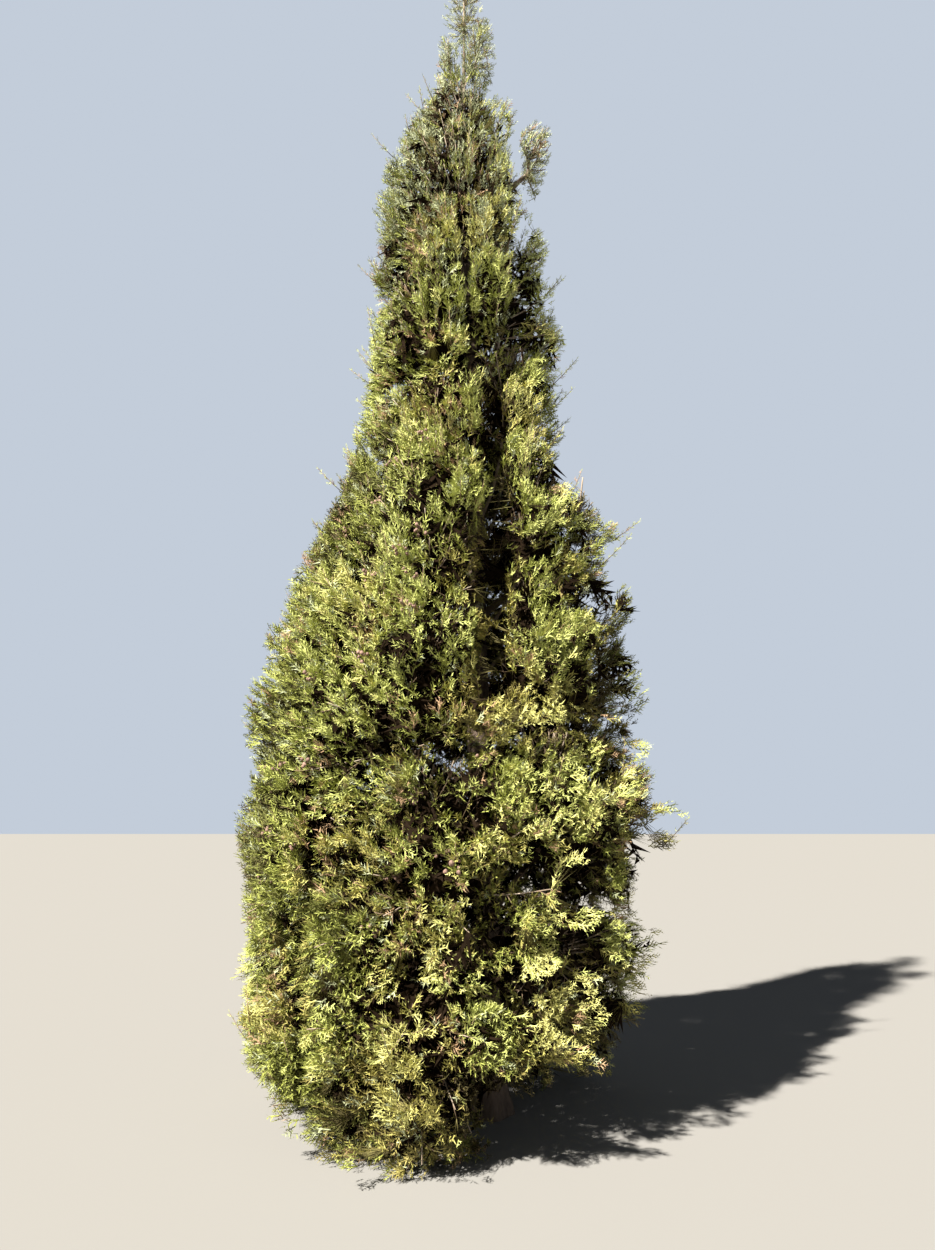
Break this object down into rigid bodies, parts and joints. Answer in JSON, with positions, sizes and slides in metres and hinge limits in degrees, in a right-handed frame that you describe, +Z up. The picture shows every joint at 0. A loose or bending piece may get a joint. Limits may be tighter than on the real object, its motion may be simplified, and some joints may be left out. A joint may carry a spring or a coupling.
{
  "type": "saharan cypress tree",
  "caption": "Young Saharan cypress, a narrow cone of upswept plumes of scaly foliage round one straight trunk, with an open leader, rooted in level ground",
  "frame": {"origin": "middle of the trunk's flat cut at ground level", "axes": "+Z up along the trunk, -Y the side that faces the viewer, +X the viewer's right"},
  "size_m": [2.383, 2.431, 6.6386],
  "materials": {
    "bark": "rough stringy bark",
    "foliage": "matte scale leaves"
  },
  "bodies": {
    "root": {"bough_low_1": "bark", "bough_low_2": "bark", "bough_low_3": "bark", "bough_low_4": "bark", "bough_low_5": "bark", "bough_low_6": "bark", "bough_middle_1": "bark", "bough_middle_2": "bark", "bough_middle_3": "bark", "bough_middle_4": "bark", "bough_middle_5": "bark", "bough_skirt_1": "bark", "bough_skirt_2": "bark", "bough_skirt_3": "bark", "bough_skirt_4": "bark", "bough_skirt_5": "bark", "bough_skirt_6": "bark", "bough_tuft_right_high": "bark", "bough_tuft_right_shoulder": "bark", "foliage_crest_1": "foliage", "foliage_crest_2": "foliage", "foliage_crest_3": "foliage", "foliage_high_1": "foliage", "foliage_high_2": "foliage", "foliage_high_3": "foliage", "foliage_leader_left": "foliage", "foliage_leader_right": "foliage", "foliage_leader_tip": "foliage", "foliage_low_1": "foliage", "foliage_low_2": "foliage", "foliage_low_3": "foliage", "foliage_low_4": "foliage", "foliage_low_5": "foliage", "foliage_low_6": "foliage", "foliage_middle_1": "foliage", "foliage_middle_2": "foliage", "foliage_middle_3": "foliage", "foliage_middle_4": "foliage", "foliage_middle_5": "foliage", "foliage_shoulder_1": "foliage", "foliage_shoulder_2": "foliage", "foliage_shoulder_3": "foliage", "foliage_shoulder_4": "foliage", "foliage_shoulder_5": "foliage", "foliage_skirt_1": "foliage", "foliage_skirt_2": "foliage", "foliage_skirt_3": "foliage", "foliage_skirt_4": "foliage", "foliage_skirt_5": "foliage", "foliage_skirt_6": "foliage", "foliage_spire_1": "foliage", "foliage_spire_2": "foliage", "foliage_spire_3": "foliage", "foliage_tuft_right_high": "foliage", "foliage_tuft_right_shoulder": "foliage", "foliage_waist_1": "foliage", "foliage_waist_2": "foliage", "foliage_waist_3": "foliage", "foliage_waist_4": "foliage", "trunk": "bark"}
  },
  "joints": []
}
